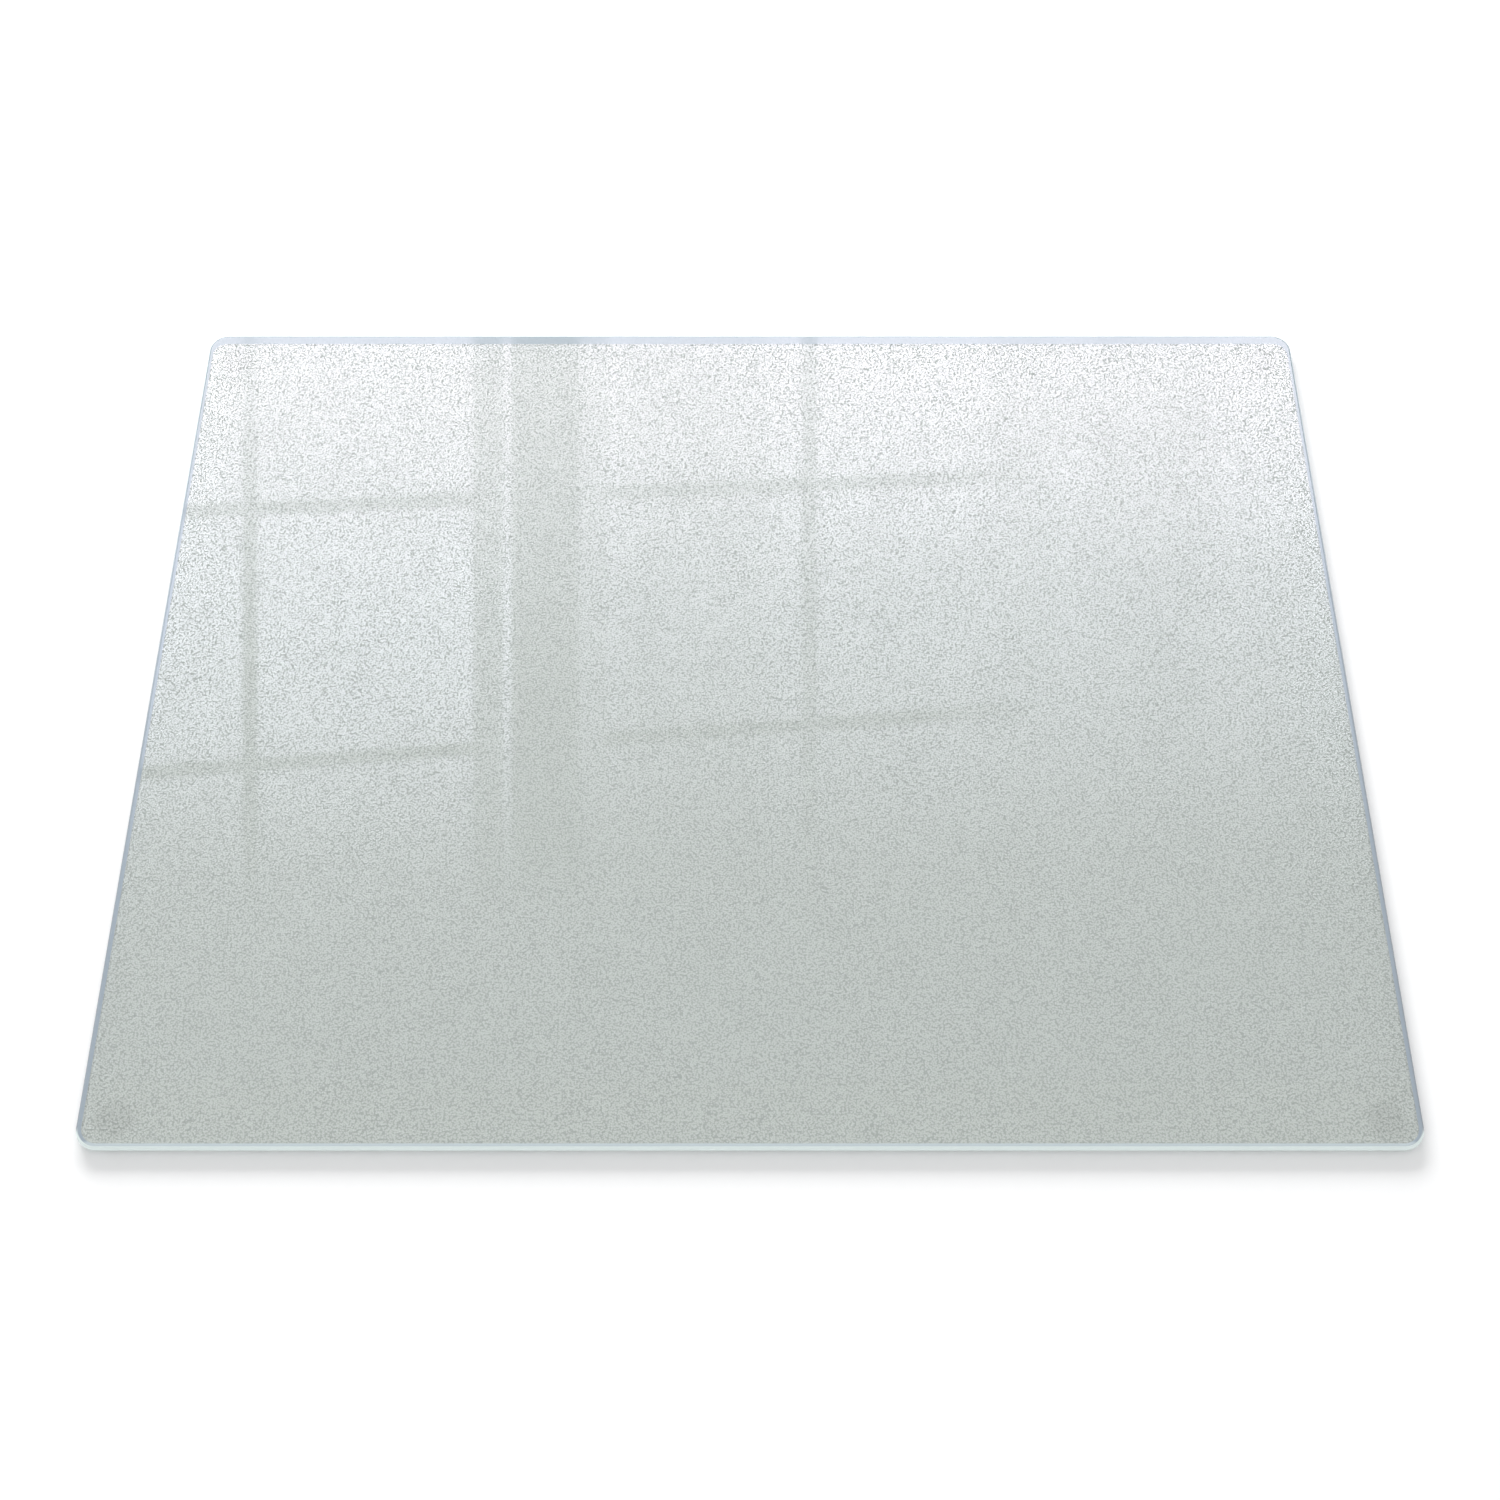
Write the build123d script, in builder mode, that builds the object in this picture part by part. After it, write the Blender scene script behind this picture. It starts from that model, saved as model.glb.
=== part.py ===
from build123d import *

import os

# Glass chair mat: one rectangular tempered-glass plate, smooth on top and finely
# stippled underneath, lying on four self-adhesive anti-slip pads, one near each corner.
# Millimetres. +Z is up, +X runs along the long edges and +Y towards the rear edge.
# The origin is on the floor, under the middle of the plate.

# Glass plate
GLASS_LENGTH = 1168.4  # along X, 46 in
GLASS_WIDTH = 914.4  # along Y, 36 in
GLASS_THICKNESS = 6.35  # 1/4 in
CORNER_RADIUS = 20.0  # of the plate's outline, seen from above
EDGE_LAND = 0.35  # upright strip left in the middle of the pencil-polished edge
EDGE_RADIUS = (GLASS_THICKNESS - EDGE_LAND) / 2

# Anti-slip pads
PAD_RADIUS = 15.0
PAD_THICKNESS = 2.5
PAD_RIM_RADIUS = 1.0  # rounding of the pad's lower rim
PAD_INSET = 30.0  # from the plate's edges to the middle of a pad

# Adhesive discs that hold the pads to the glass
ADHESIVE_RADIUS = PAD_RADIUS - 0.5
ADHESIVE_THICKNESS = 0.4

ADHESIVE_BASE = PAD_THICKNESS
GLASS_BASE = ADHESIVE_BASE + ADHESIVE_THICKNESS
PAD_X = GLASS_LENGTH / 2 - PAD_INSET
PAD_Y = GLASS_WIDTH / 2 - PAD_INSET

# The corner that each pad belongs to, as signs along X and Y
CORNERS = {
    "front_left": (-1, -1),
    "front_right": (1, -1),
    "rear_left": (-1, 1),
    "rear_right": (1, 1),
}

os.makedirs("parts", exist_ok=True)

# Glass plate: a rounded rectangle whose rim is ground to a full round all the way along
with BuildPart() as glass_panel:
    with BuildSketch(Plane.XY.offset(GLASS_BASE)):
        RectangleRounded(GLASS_LENGTH, GLASS_WIDTH, CORNER_RADIUS)
    extrude(amount=GLASS_THICKNESS)
    top_face = glass_panel.faces().sort_by(Axis.Z)[-1]
    bottom_face = glass_panel.faces().sort_by(Axis.Z)[0]
    fillet(top_face.edges() + bottom_face.edges(), radius=EDGE_RADIUS)
glass_panel.part.label = "glass_panel"
export_step(glass_panel.part, "parts/glass_panel.step")

for corner, (side_x, side_y) in CORNERS.items():
    pad_centre = (side_x * PAD_X, side_y * PAD_Y)

    # Pad: a low elastomer disc, its lower rim rounded so that it doesn't catch on carpet
    with BuildPart() as pad:
        with BuildSketch(Plane.XY):
            with Locations(pad_centre):
                Circle(PAD_RADIUS)
        extrude(amount=PAD_THICKNESS)
        lower_rim = pad.edges().group_by(Axis.Z)[0]
        fillet(lower_rim, radius=PAD_RIM_RADIUS)
    pad.part.label = f"{corner}_pad"
    export_step(pad.part, f"parts/{corner}_pad.step")

    # Adhesive: a thin disc, face to face with the pad below and the glass above
    with BuildPart() as adhesive:
        with BuildSketch(Plane.XY.offset(ADHESIVE_BASE)):
            with Locations(pad_centre):
                Circle(ADHESIVE_RADIUS)
        extrude(amount=ADHESIVE_THICKNESS)
    adhesive.part.label = f"{corner}_pad_adhesive"
    export_step(adhesive.part, f"parts/{corner}_pad_adhesive.step")
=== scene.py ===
import math

import bmesh
import bpy
from mathutils import Matrix, Vector


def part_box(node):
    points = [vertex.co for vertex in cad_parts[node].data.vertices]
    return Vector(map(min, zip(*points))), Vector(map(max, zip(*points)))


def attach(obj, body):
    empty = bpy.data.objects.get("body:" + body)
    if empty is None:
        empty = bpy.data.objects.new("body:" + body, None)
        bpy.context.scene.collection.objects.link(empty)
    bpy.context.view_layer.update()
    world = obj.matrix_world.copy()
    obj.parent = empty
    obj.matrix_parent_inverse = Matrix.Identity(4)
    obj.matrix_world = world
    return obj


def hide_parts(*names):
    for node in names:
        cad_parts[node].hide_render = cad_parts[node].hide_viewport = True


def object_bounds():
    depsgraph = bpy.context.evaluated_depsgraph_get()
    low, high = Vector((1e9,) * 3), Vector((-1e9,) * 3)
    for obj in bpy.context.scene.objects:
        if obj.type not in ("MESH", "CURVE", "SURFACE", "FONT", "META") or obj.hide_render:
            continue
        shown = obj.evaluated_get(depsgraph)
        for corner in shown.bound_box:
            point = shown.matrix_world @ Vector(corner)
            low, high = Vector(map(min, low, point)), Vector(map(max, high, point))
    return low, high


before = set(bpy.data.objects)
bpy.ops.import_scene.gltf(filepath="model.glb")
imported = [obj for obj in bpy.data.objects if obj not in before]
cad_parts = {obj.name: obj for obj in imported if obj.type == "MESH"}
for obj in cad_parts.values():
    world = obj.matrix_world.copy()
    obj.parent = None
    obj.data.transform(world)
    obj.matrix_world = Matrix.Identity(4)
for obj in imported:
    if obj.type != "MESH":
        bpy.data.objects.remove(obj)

# A glass chair mat: one tempered plate, glossy on top and stippled underneath, on four
# self-adhesive pads. Metres, in the CAD frame: +X along the long edges, +Y to the rear.

cad_low, cad_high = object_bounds()
plate_low, plate_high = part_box("glass_panel")
CORNERS = ("front_left", "front_right", "rear_left", "rear_right")

# Plate
CORNER_RADIUS = 0.020  # of the outline, seen from above
EDGE_LAND = 0.00035  # upright strip in the middle of the pencil-polished edge
UNDERSIDE_LIFT = 0.00004  # keeps the underside off the adhesive's face
CLEAR_BORDER = 0.0022  # polished strip next to the rounded edge, without stipple
REAR_BORDER = 0.0096  # the same strip along the rear edge
INNER_INSET = 0.060  # where the ring of faces round the rim meets the regular grid
CORNER_STEPS = 24  # faces round each corner, an even number
SIDE_STEPS = (28, 22)  # faces along the straight part of the X and Y sides
ARC_STEPS = 9  # faces from the top face to the middle of the edge
FACE_SLOT, EDGE_SLOT, UNDERSIDE_SLOT = range(3)  # the plate's materials, in this order

# Glass
FACE_GRAIN = 580.0  # scale of the stipple that shows through the top face
UNDERSIDE_GRAIN = 420.0
PIT_LEVELS = (0.70, 0.98)  # of the stipple, where a pit starts and where it is full
FACE_COLOUR = (0.680, 0.725, 0.686, 1)
PIT_COLOUR = (0.487, 0.523, 0.500, 1)

# Painted light and shade on the edge, set by how light falls on it: a painted glow on the front, painted
# shade on the sides and border, and a paler rear side. Each is between two colours that faint streaks mix
FRONT_PAINTED_GLOW = (0.86, 0.97, 0.95, 1), (0.91, 1.0, 0.98, 1)
SIDE_PAINTED_SHADE = (0.22, 0.255, 0.285, 1), (0.26, 0.295, 0.325, 1)
REAR_SIDE_PAINTED_LIGHT = (0.70, 0.78, 0.84, 1), (0.74, 0.82, 0.88, 1)
BORDER_PAINTED_SHADE = (0.28, 0.33, 0.38, 1), (0.32, 0.37, 0.42, 1)
REAR_BORDER_PAINTED_SHADE = (0.245, 0.31, 0.335, 1), (0.285, 0.35, 0.375, 1)
SIDE_FADE = (plate_low.y + 0.30, plate_high.y - 0.05)  # Y from the side's painted shade to the rear side's paler painted light
BORDER_FADE = (plate_high.y - 0.35, plate_high.y - 0.02)  # Y from the border's painted shade to the rear border's
FRONT_STRIP = (plate_low.y + 0.008, plate_low.y + 0.005)  # Y where the front border's painted glow comes on
BORDER_TO_SIDE = (0.995, 0.70)  # upward part of the normal, from the border to the side
SIDE_TO_FRONT = (0.02, -0.25)  # rearward part of the normal, from the side's painted shade to the front's painted glow

# Camera
PITCH = math.radians(60.24)  # below the horizontal
CAMERA_HEIGHT = 1.6945
CAMERA_BACK = 1.0249  # in front of the mat's middle
LENS_MM = 48.64
SENSOR_MM = 36.0

# Floor and even light
FLOOR_HALF = 12.0
FLOOR_DROP = 0.00005  # keeps the floor's face off the pads' feet
WORLD_COLOUR = (0.99, 0.995, 1.0, 1)
WORLD_STRENGTH = 0.80

# Rear lamp, for the soft shadow along the front
LAMP_SIZE = (5.0, 2.2)
LAMP_PLACE = (-1.1, 5.0, 1.7)
LAMP_WATTS = 560.0

# Softbox, which only reflections see. It hangs square to the camera's line of sight after
# that has been mirrored in the glass, so that its bars show undistorted in the top face.
# Its own X runs to the right and its own Y runs down, both from where that line meets it.
SOFTBOX_DISTANCE = 4.6  # from the mirrored camera, along its line of sight
SOFTBOX_HALF_X, SOFTBOX_TOP, SOFTBOX_BOTTOM = 1.9, -0.75, 1.5
SOFTBOX_FADE_X, SOFTBOX_FADE_Y = 0.3, 0.4  # strips along its sides and foot where it fades out
TO_RIGHT = (-0.5, -0.3)  # X from its left part, across the pillar, to its right part

# Bars of the softbox: middle, half width and depth of each upright one, where a depth of 1 is dark
PILLAR = ((-0.594, 0.034, 0.78), (-0.464, 0.078, 1.0), (-0.354, 0.032, 0.45))
RIGHT_BAR = (0.135, 0.017, 0.7)
LEFT_BAR = (-1.135, 0.017, 1.0)
DIM_BANDS = ((-0.13, 0.17, 0.25), (0.62, 0.08, 0.15), (0.90, 0.14, 0.2))
CROSSBARS = ((0.597, 0.0435), (0.048, 0.073))  # height at the middle, and slope
CROSSBAR_HALF = 0.016
BAR_BLUR = 0.007
DIM_BAND_BLUR = 0.05
PILLAR_MIDDLE = -0.475
PILLAR_CLEARANCE = (0.12, 0.16)  # from its middle, where the crossbars come out beside it
CROSSBAR_END = (0.75, 0.35)  # X where the crossbars have gone, and where they are whole
BARS_FADE = (0.40, 0.90, 1.0, 0.45)  # Y where the left bar and crossbars fade, and from what to what

# Strength of the softbox: Y from and to, then the strength at each, or 0 and 1 if none is given
PANES_ON = (-0.32, 0.20)
LEFT_PANES = (0.35, 0.80, 3.2, 2.2)
RIGHT_PANES = (0.35, 0.65, 1.5, 3.2)
RAMP = (0.17, 0.90, 0.0, 3.75)
LEFT_EVEN = (-0.60, 0.25, WORLD_STRENGTH, 2.1)
RIGHT_EVEN = (-0.30, 0.35, WORLD_STRENGTH, 2.1)
BARS_ON = (-0.45, -0.20)

# Colour of the softbox
COLOUR_SHIFT = (0.2, 0.9)  # Y from the upper colour to the lower one
UPPER_COLOUR = (0.90, 0.92, 1.06, 1)
LOWER_COLOUR = (1.02, 0.93, 1.06, 1)

# Ring of light, which only reflections see
RING_RADIUS = 6.0
RING_HEIGHT = 3.0
RING_STEPS = 96
RING_FADE = (2.4, 0.6)  # heights where it is as dim as the world, and at its brightest
RING_GLOW = 1.5


class Nodes:
    """Builds one node tree: add() makes a node, and the rest are shorthands for common ones."""

    def __init__(self, tree):
        self.tree = tree
        tree.nodes.clear()

    def add(self, kind, inputs=(), **settings):
        node = self.tree.nodes.new(kind)
        for name, value in settings.items():
            setattr(node, name, value)
        for key, value in dict(inputs).items():
            self.put(node.inputs[key], value)
        return node

    def put(self, socket, value):
        if isinstance(value, bpy.types.NodeSocket):
            self.tree.links.new(value, socket)
        else:
            socket.default_value = value

    def math(self, operation, a, b=0.0):
        return self.add("ShaderNodeMath", {0: a, 1: b}, operation=operation).outputs[0]

    def product(self, first, *others):
        for other in others:
            first = self.math("MULTIPLY", first, other)
        return first

    def one_less(self, value):
        return self.math("SUBTRACT", 1.0, value)

    def blend(self, factor, a, b):
        """The value a where the factor is 0, and b where it is 1."""
        return self.math("ADD", a, self.product(factor, self.math("SUBTRACT", b, a)))

    def smooth(self, value, low, high, to_low=0.0, to_high=1.0, shape="SMOOTHSTEP"):
        """From to_low, where the value is low, to to_high, where it is high, and level beyond."""
        node = self.add(
            "ShaderNodeMapRange",
            {"Value": value, "From Min": low, "From Max": high, "To Min": to_low, "To Max": to_high},
            interpolation_type=shape,
        )
        return node.outputs["Result"]

    def mix(self, factor, a, b):
        node = self.add("ShaderNodeMix", data_type="RGBA")
        self.put(node.inputs[0], factor)
        self.put(node.inputs[6], a)
        self.put(node.inputs[7], b)
        return node.outputs[2]

    def noise(self, vector, scale, detail=2.0, roughness=0.5):
        node = self.add(
            "ShaderNodeTexNoise",
            {"Vector": vector, "Scale": scale, "Detail": detail, "Roughness": roughness},
        )
        return node.outputs["Fac"]

    def object_coords(self):
        return self.add("ShaderNodeTexCoord").outputs["Object"]

    def split(self, vector):
        return self.add("ShaderNodeSeparateXYZ", {0: vector}).outputs

    def bump(self, height, strength, distance):
        node = self.add(
            "ShaderNodeBump", {"Height": height, "Strength": strength, "Distance": distance}
        )
        return node.outputs["Normal"]

    def emission(self, strength, colour=(1, 1, 1, 1)):
        return self.add("ShaderNodeEmission", {"Strength": strength, "Color": colour})

    def principled(self, **inputs):
        named = {key.replace("_", " "): value for key, value in inputs.items()}
        return self.add("ShaderNodeBsdfPrincipled", named)

    def output(self, shader):
        out = self.add("ShaderNodeOutputMaterial")
        self.tree.links.new(shader.outputs[0], out.inputs["Surface"])


def new_material(name):
    material = bpy.data.materials.new(name)
    material.use_nodes = True
    return material, Nodes(material.node_tree)


def link(name, data):
    thing = bpy.data.objects.new(name, data)
    bpy.context.scene.collection.objects.link(thing)
    return thing


# ---------------------------------------------------------------- plate mesh


def half_corner(x, y, radius, start):
    """Points on the circle round (x, y), for half a corner from an angle in degrees."""
    angles = [math.radians(start) + i * math.pi / 2 / CORNER_STEPS for i in range(CORNER_STEPS // 2)]
    return [Vector((x + radius * math.cos(a), y + radius * math.sin(a))) for a in angles]


def outline(half_x, half_y, radius):
    """Points of a rounded rectangle, anticlockwise from the middle of the front left corner."""
    sides = ((half_x, half_y, SIDE_STEPS[0]), (half_y, half_x, SIDE_STEPS[1]))
    points = []
    for quarter in range(4):
        half, other, steps = sides[quarter % 2]
        side = half_corner(radius - half, radius - other, radius, 225)
        side += [Vector((radius - half + (half - radius) * 2 * i / steps, -other)) for i in range(steps)]
        side += half_corner(half - radius, radius - other, radius, 270)
        turn = Matrix.Rotation(quarter * math.pi / 2, 2)
        points += [turn @ point for point in side]
    return points


def plate_rings():
    """Each ring's inset, further inset at the rear, height and tilt, from the top face round."""
    top, bottom = plate_high.z, plate_low.z + UNDERSIDE_LIFT
    radius = (top - bottom - EDGE_LAND) / 2
    rear_step = REAR_BORDER - CLEAR_BORDER
    rings = [(radius + CLEAR_BORDER, rear_step, top, 90.0), (radius, 0.0, top, 90.0)]

    def add_round(middle, tilt):
        a = math.radians(tilt)
        rings.append((radius * (1 - math.cos(a)), 0.0, middle + radius * math.sin(a), tilt))

    for i in range(1, ARC_STEPS + 1):
        add_round(top - radius, 90.0 * (1 - i / ARC_STEPS))
    for i in range(ARC_STEPS):
        add_round(bottom + radius, -90.0 * i / ARC_STEPS)
    rings += [(radius, 0.0, bottom, -90.0), (radius + CLEAR_BORDER, rear_step, bottom, -90.0)]
    return rings


def grid_border(grid):
    """The points round a grid of rows, anticlockwise from its front left corner."""
    last_row, last = len(grid) - 1, len(grid[0]) - 1
    border = [grid[0][i] for i in range(last)]
    border += [grid[j][last] for j in range(last_row)]
    border += [grid[last_row][i] for i in range(last, 0, -1)]
    border += [grid[j][0] for j in range(last_row, 0, -1)]
    return border


def make_plate():
    """The whole plate as one closed mesh of quads, with its exact normals."""
    half_x, half_y = (plate_high.x - plate_low.x) / 2, (plate_high.y - plate_low.y) / 2
    bm = bmesh.new()
    normals = []

    def add(x, y, z, normal):
        normals.append(normal)
        return bm.verts.new((x, y, z))

    def add_ring(inset, rear_step, z, tilt):
        radius = CORNER_RADIUS - inset
        ring_x, ring_y = half_x - inset, half_y - inset - rear_step / 2
        a = math.radians(tilt)
        ring = []
        for p, q in zip(outline(ring_x, ring_y, radius), outline(ring_x + 1, ring_y + 1, radius + 1)):
            out = q - p  # a metre long, and square to the outline
            normal = (out.x * math.cos(a), out.y * math.cos(a), math.sin(a))
            ring.append(add(p.x, p.y - rear_step / 2, z, normal))
        return ring

    def add_flat(rim, z, up, slot):
        """The grid inside a rim, and the faces that join the two."""
        cells_x, cells_y = SIDE_STEPS[0] + CORNER_STEPS, SIDE_STEPS[1] + CORNER_STEPS
        grid_x, grid_y = half_x - INNER_INSET, half_y - INNER_INSET
        grid = []
        for j in range(cells_y + 1):
            y = -grid_y + 2 * grid_y * j / cells_y
            row = [add(-grid_x + 2 * grid_x * i / cells_x, y, z, (0, 0, up)) for i in range(cells_x + 1)]
            grid.append(row)
        border = grid_border(grid)
        count = len(rim)
        quads = [(border[i], rim[i], rim[(i + 1) % count], border[(i + 1) % count]) for i in range(count)]
        quads += [
            (grid[j][i], grid[j][i + 1], grid[j + 1][i + 1], grid[j + 1][i])
            for j in range(cells_y)
            for i in range(cells_x)
        ]
        for quad in quads:
            bm.faces.new(quad if up > 0 else quad[::-1]).material_index = slot

    levels = plate_rings()
    rings = [add_ring(*level) for level in levels]
    for ring, following in zip(rings, rings[1:]):
        for i in range(len(ring)):
            j = (i + 1) % len(ring)
            bm.faces.new((ring[i], following[i], following[j], ring[j])).material_index = EDGE_SLOT
    add_flat(rings[0], levels[0][2], 1, FACE_SLOT)
    add_flat(rings[-1], levels[-1][2], -1, UNDERSIDE_SLOT)
    bm.normal_update()
    for face in bm.faces:
        face.smooth = True
    mesh = bpy.data.meshes.new("glass_plate")
    bm.to_mesh(mesh)
    bm.free()
    mesh.normals_split_custom_set_from_vertices(normals)
    return link("glass_plate", mesh)


# ---------------------------------------------------------------- materials


def stipple(n, scale):
    """Height of the glass's fine pebbled texture: small rounded grains of uneven size."""
    place = n.object_coords()
    grains = n.add(
        "ShaderNodeTexVoronoi",
        {"Vector": place, "Scale": scale, "Smoothness": 0.6},
        feature="SMOOTH_F1",
    )
    fine = n.noise(place, scale * 1.6, detail=3.0, roughness=0.6)
    return n.math("ADD", grains.outputs["Distance"], n.product(fine, 0.6))


def glass_face_material():
    """Glossy stippled glass: each pit between the grains is darker and shines less."""
    material, n = new_material("stippled_glass")
    height = stipple(n, FACE_GRAIN)
    pit = n.smooth(height, *PIT_LEVELS)
    shine = n.one_less(pit)
    shader = n.principled(
        Base_Color=n.mix(pit, FACE_COLOUR, PIT_COLOUR),
        Roughness=0.2,
        Specular_Tint=n.product(shine, 0.45),
        IOR=1.5,
        Transmission_Weight=0.5,
        Coat_Weight=shine,
        Coat_Roughness=0.02,
        Coat_IOR=1.5,
        Normal=n.bump(height, strength=0.3, distance=0.0009),
    )
    n.output(shader)
    return material


def glass_edge_material():
    """Polished glass with painted light and shade: a painted aqua glow where it faces the front, painted
    grey-blue shade elsewhere, paler to the rear.
    """
    material, n = new_material("polished_glass_edge_painted_light")
    place = n.object_coords()
    streaks = n.noise(place, scale=260.0)
    painted_light_and_shade = (FRONT_PAINTED_GLOW, SIDE_PAINTED_SHADE, REAR_SIDE_PAINTED_LIGHT, BORDER_PAINTED_SHADE, REAR_BORDER_PAINTED_SHADE)
    # Painted light and shade: lit is the painted glow of the front; side, rear_side, border and
    # rear_border are painted shade, and the rear side is paler
    lit, side, rear_side, border, rear_border = (n.mix(streaks, *painted_pair) for painted_pair in painted_light_and_shade)
    y = n.split(place)["Y"]
    normal = n.split(n.add("ShaderNodeNewGeometry").outputs["Normal"])
    side = n.mix(n.smooth(y, *SIDE_FADE), side, rear_side)
    border = n.mix(n.smooth(y, *BORDER_FADE), border, rear_border)
    unlit = n.mix(n.smooth(normal["Z"], *BORDER_TO_SIDE), border, side)
    # Painted glow on the faces towards the front, and on a strip of the border along the front
    strip = n.smooth(y, *FRONT_STRIP, to_high=0.30)
    front = n.math("MAXIMUM", strip, n.smooth(normal["Y"], *SIDE_TO_FRONT))
    shader = n.principled(
        Base_Color=n.mix(front, unlit, lit),
        Roughness=0.05,
        IOR=1.5,
        Transmission_Weight=0.1,
    )
    n.output(shader)
    return material


def glass_underside_material():
    material, n = new_material("stippled_underside")
    shader = n.principled(
        Base_Color=(0.86, 0.90, 0.88, 1),
        Roughness=0.4,
        IOR=1.5,
        Transmission_Weight=0.9,
        Normal=n.bump(stipple(n, UNDERSIDE_GRAIN), strength=0.5, distance=0.0006),
    )
    n.output(shader)
    return material


def pad_material():
    material, n = new_material("grey_elastomer")
    speck = n.noise(n.object_coords(), scale=900.0, detail=3.0, roughness=0.6)
    shader = n.principled(
        Base_Color=n.mix(speck, (0.10, 0.105, 0.11, 1), (0.15, 0.155, 0.16, 1)),
        Roughness=0.55,
        Normal=n.bump(speck, strength=0.2, distance=0.0002),
    )
    n.output(shader)
    return material


def adhesive_material():
    material, n = new_material("clear_adhesive")
    bubbles = n.noise(n.object_coords(), scale=500.0)
    shader = n.principled(
        Base_Color=n.mix(bubbles, (0.38, 0.39, 0.39, 1), (0.44, 0.45, 0.45, 1)),
        Roughness=0.35,
    )
    n.output(shader)
    return material


# ---------------------------------------------------------------- stage


def show_in_reflections_only(thing):
    thing.visible_camera = False
    thing.visible_transmission = False
    thing.visible_shadow = False
    thing.visible_diffuse = False


def make_floor():
    mesh = bpy.data.meshes.new("floor")
    half, z = FLOOR_HALF, cad_low.z - FLOOR_DROP
    corners = [(-half, -half, z), (half, -half, z), (half, half, z), (-half, half, z)]
    mesh.from_pydata(corners, [], [(0, 1, 2, 3)])
    floor = link("floor", mesh)
    material, n = new_material("pale_floor")
    grain = n.noise(n.object_coords(), scale=60.0, detail=4.0)
    colour = n.mix(grain, (0.89, 0.89, 0.89, 1), (0.91, 0.91, 0.91, 1))
    n.output(n.principled(Base_Color=colour, Roughness=0.9, Specular_IOR_Level=0.1))
    mesh.materials.append(material)


def make_camera():
    data = bpy.data.cameras.new("camera")
    data.lens = LENS_MM
    data.sensor_width = SENSOR_MM
    camera = link("camera", data)
    camera.location = (0, -CAMERA_BACK, CAMERA_HEIGHT)
    camera.rotation_euler = (math.pi / 2 - PITCH, 0, 0)
    bpy.context.scene.camera = camera


def make_world():
    world = bpy.data.worlds.new("studio")
    world.use_nodes = True
    background = world.node_tree.nodes["Background"]
    background.inputs["Color"].default_value = WORLD_COLOUR
    background.inputs["Strength"].default_value = WORLD_STRENGTH
    bpy.context.scene.world = world


def make_rear_lamp():
    """A broad lamp low behind the mat, left of the middle, aimed at it."""
    data = bpy.data.lights.new("rear_lamp", "AREA")
    data.shape = "RECTANGLE"
    data.size, data.size_y = LAMP_SIZE
    data.energy = LAMP_WATTS
    lamp = link("rear_lamp", data)
    lamp.location = LAMP_PLACE
    lamp.rotation_euler = (-lamp.location).to_track_quat("-Z", "Y").to_euler()
    lamp.visible_camera = False
    lamp.visible_glossy = False


def bar(n, value, middle, half_width, depth, blur=BAR_BLUR):
    """1 away from the bar, and less by depth on it."""
    away = n.math("ABSOLUTE", n.math("SUBTRACT", value, middle))
    return n.smooth(away, half_width - blur, half_width + blur, 1.0 - depth, 1.0)


def softbox_bars(n, x, y):
    """The dark bars of a window: 1 in the panes, and less on a bar."""
    steady = [bar(n, x, *sizes) for sizes in (*PILLAR, RIGHT_BAR)]
    steady += [bar(n, x, *sizes, DIM_BAND_BLUR) for sizes in DIM_BANDS]
    from_pillar = n.math("ABSOLUTE", n.math("SUBTRACT", x, PILLAR_MIDDLE))
    ends = n.product(n.smooth(from_pillar, *PILLAR_CLEARANCE), n.smooth(x, *CROSSBAR_END))
    fading = [bar(n, x, *LEFT_BAR)]
    for height, slope in CROSSBARS:
        level = n.math("SUBTRACT", y, n.product(x, slope))
        crossbar = n.one_less(bar(n, level, height, CROSSBAR_HALF, depth=1.0))
        fading.append(n.one_less(n.product(crossbar, ends)))
    gaps = n.product(n.one_less(n.product(*fading)), n.smooth(y, *BARS_FADE))
    return n.product(*steady, n.one_less(gaps))


def softbox_strength(n, x, y):
    """Bright panes over a ramp and an even base, all running out to the world's strength."""
    bars = softbox_bars(n, x, y)
    to_right = n.smooth(x, *TO_RIGHT)
    sides = n.blend(to_right, n.smooth(y, *LEFT_PANES), n.smooth(y, *RIGHT_PANES))
    panes = n.product(bars, n.smooth(y, *PANES_ON), sides)
    ramp = n.smooth(y, *RAMP, shape="LINEAR")
    shade = n.product(n.smooth(y, *BARS_ON), n.one_less(bars))
    even = n.blend(to_right, n.smooth(y, *LEFT_EVEN), n.smooth(y, *RIGHT_EVEN))
    strength = n.math("ADD", n.math("ADD", panes, ramp), n.product(n.one_less(shade), even))
    inside = n.product(
        n.smooth(n.math("ABSOLUTE", x), SOFTBOX_HALF_X, SOFTBOX_HALF_X - SOFTBOX_FADE_X),
        n.smooth(y, SOFTBOX_BOTTOM, SOFTBOX_BOTTOM - SOFTBOX_FADE_Y),
    )
    return n.blend(inside, WORLD_STRENGTH, strength)


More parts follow.
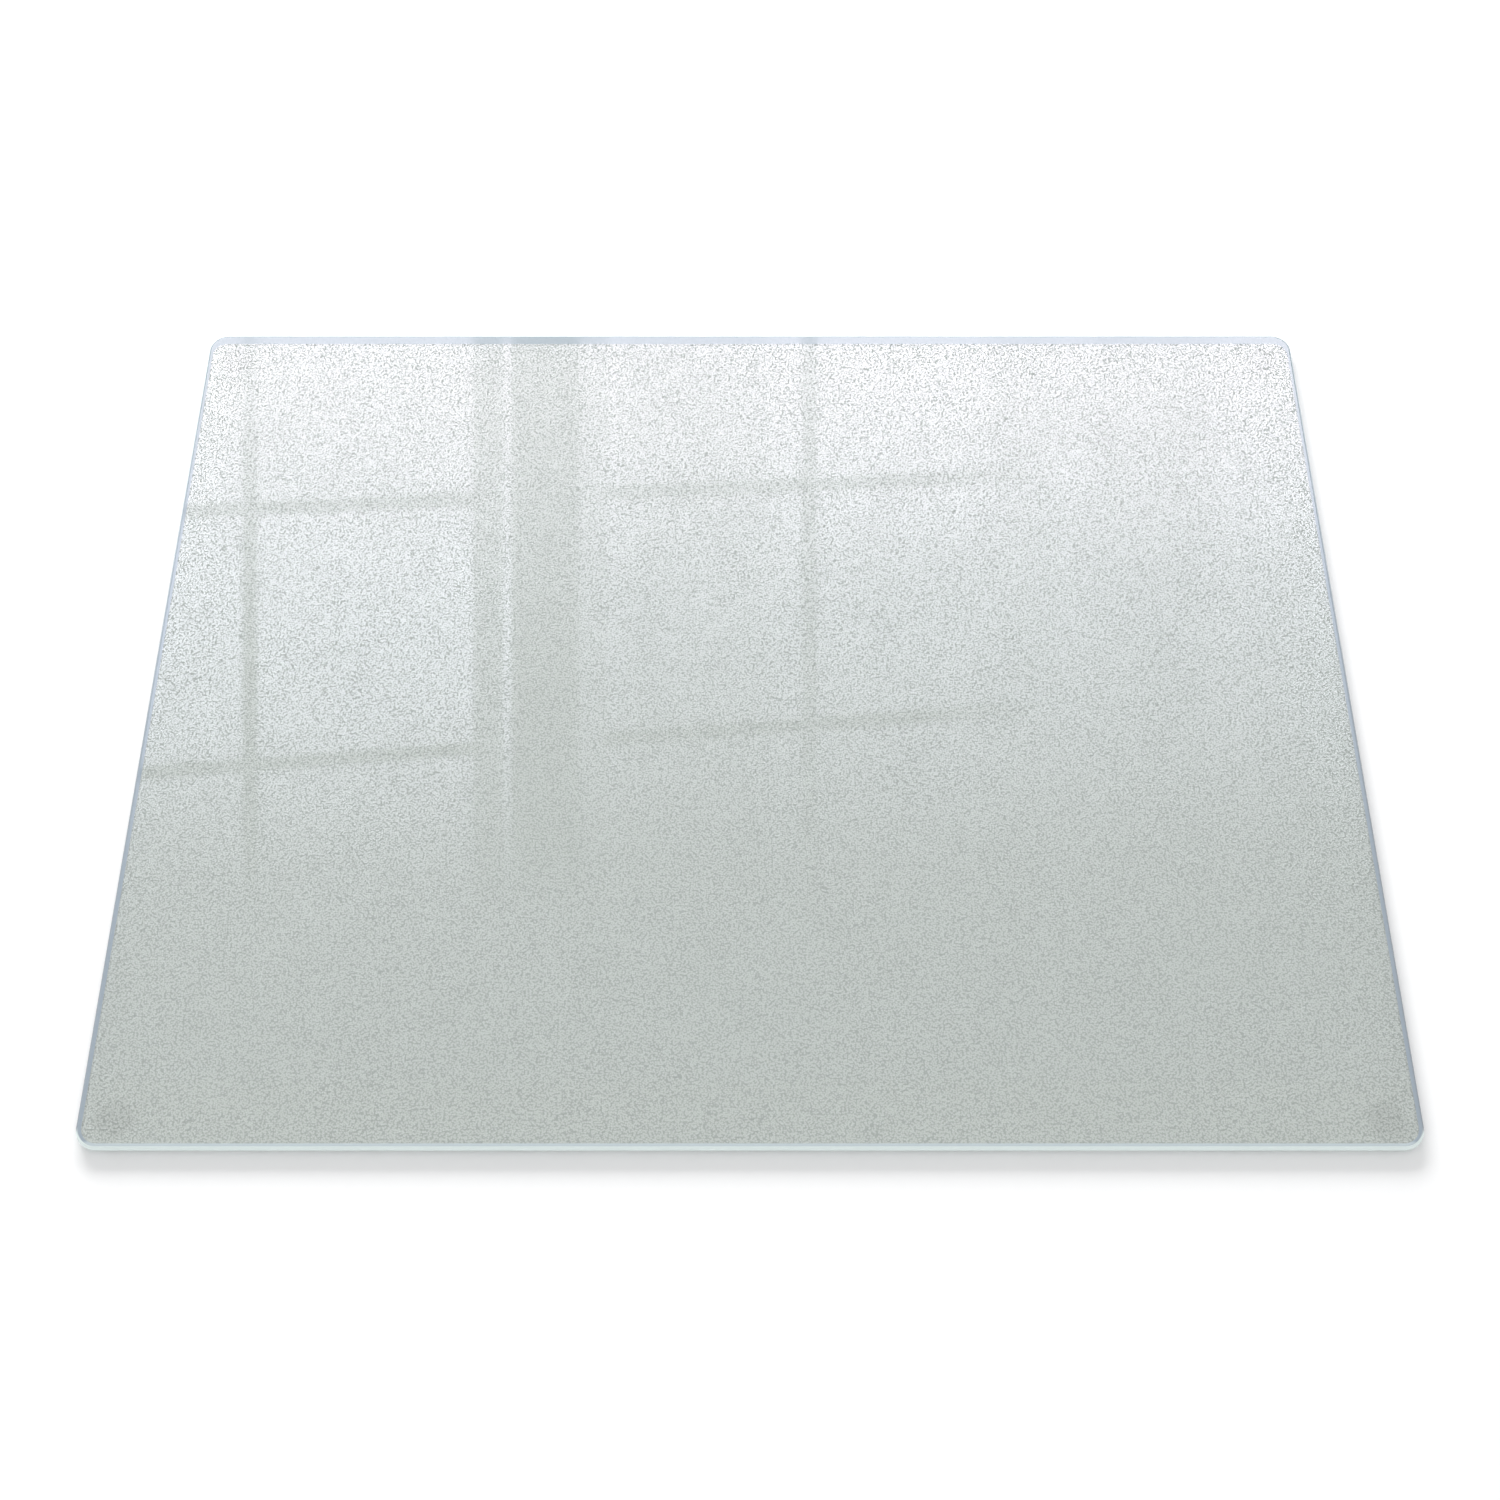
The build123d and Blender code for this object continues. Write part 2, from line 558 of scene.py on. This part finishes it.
def make_softbox():
    """A wide panel of light, brighter towards its lower edge, with the bars of a window."""
    mesh = bpy.data.meshes.new("softbox")
    half_x, top, bottom = SOFTBOX_HALF_X, SOFTBOX_TOP, SOFTBOX_BOTTOM
    corners = [(-half_x, top, 0), (-half_x, bottom, 0), (half_x, bottom, 0), (half_x, top, 0)]
    mesh.from_pydata(corners, [], [(0, 1, 2, 3)])
    softbox = link("softbox", mesh)
    mirrored = Vector((0, -CAMERA_BACK, 2 * plate_high.z - CAMERA_HEIGHT))
    sight = Vector((0, math.cos(PITCH), math.sin(PITCH)))
    across = Vector((1, 0, 0))
    down = Vector((0, math.sin(PITCH), -math.cos(PITCH)))
    turn = Matrix((across, down, across.cross(down))).transposed().to_4x4()
    softbox.matrix_world = Matrix.Translation(mirrored + sight * SOFTBOX_DISTANCE) @ turn
    show_in_reflections_only(softbox)
    material, n = new_material("softbox")
    place = n.split(n.object_coords())
    x, y = place["X"], place["Y"]
    colour = n.mix(n.smooth(y, *COLOUR_SHIFT), UPPER_COLOUR, LOWER_COLOUR)
    light = n.emission(softbox_strength(n, x, y), colour)
    back = n.add("ShaderNodeNewGeometry").outputs["Backfacing"]
    shader = n.add("ShaderNodeMixShader", {0: back, 1: light.outputs[0], 2: n.emission(0.0).outputs[0]})
    n.output(shader)
    mesh.materials.append(material)


def make_ring():
    """A low wall of light all round, seen in reflections alone: a gradient in the glass from any side."""
    bm = bmesh.new()
    turns = [2 * math.pi * i / RING_STEPS for i in range(RING_STEPS)]
    low, high = (
        [bm.verts.new((RING_RADIUS * math.cos(a), RING_RADIUS * math.sin(a), z)) for a in turns]
        for z in (cad_low.z, RING_HEIGHT)
    )
    for i in range(RING_STEPS):
        j = (i + 1) % RING_STEPS
        bm.faces.new((low[j], low[i], high[i], high[j]))
    mesh = bpy.data.meshes.new("light_ring")
    bm.to_mesh(mesh)
    bm.free()
    ring = link("light_ring", mesh)
    show_in_reflections_only(ring)
    material, n = new_material("light_ring")
    z = n.split(n.object_coords())["Z"]
    n.output(n.emission(n.smooth(z, *RING_FADE, WORLD_STRENGTH, RING_GLOW), WORLD_COLOUR))
    mesh.materials.append(material)


# ---------------------------------------------------------------- build

plate = make_plate()
for material in (glass_face_material(), glass_edge_material(), glass_underside_material()):
    plate.data.materials.append(material)
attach(plate, "root")
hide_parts("glass_panel")

pad_finish = pad_material()
adhesive_finish = adhesive_material()
for corner in CORNERS:
    for node, finish in ((f"{corner}_pad", pad_finish), (f"{corner}_pad_adhesive", adhesive_finish)):
        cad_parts[node].data.materials.clear()
        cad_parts[node].data.materials.append(finish)

make_floor()
make_world()
make_softbox()
make_ring()
make_rear_lamp()
make_camera()
bpy.context.scene.view_settings.view_transform = "Standard"
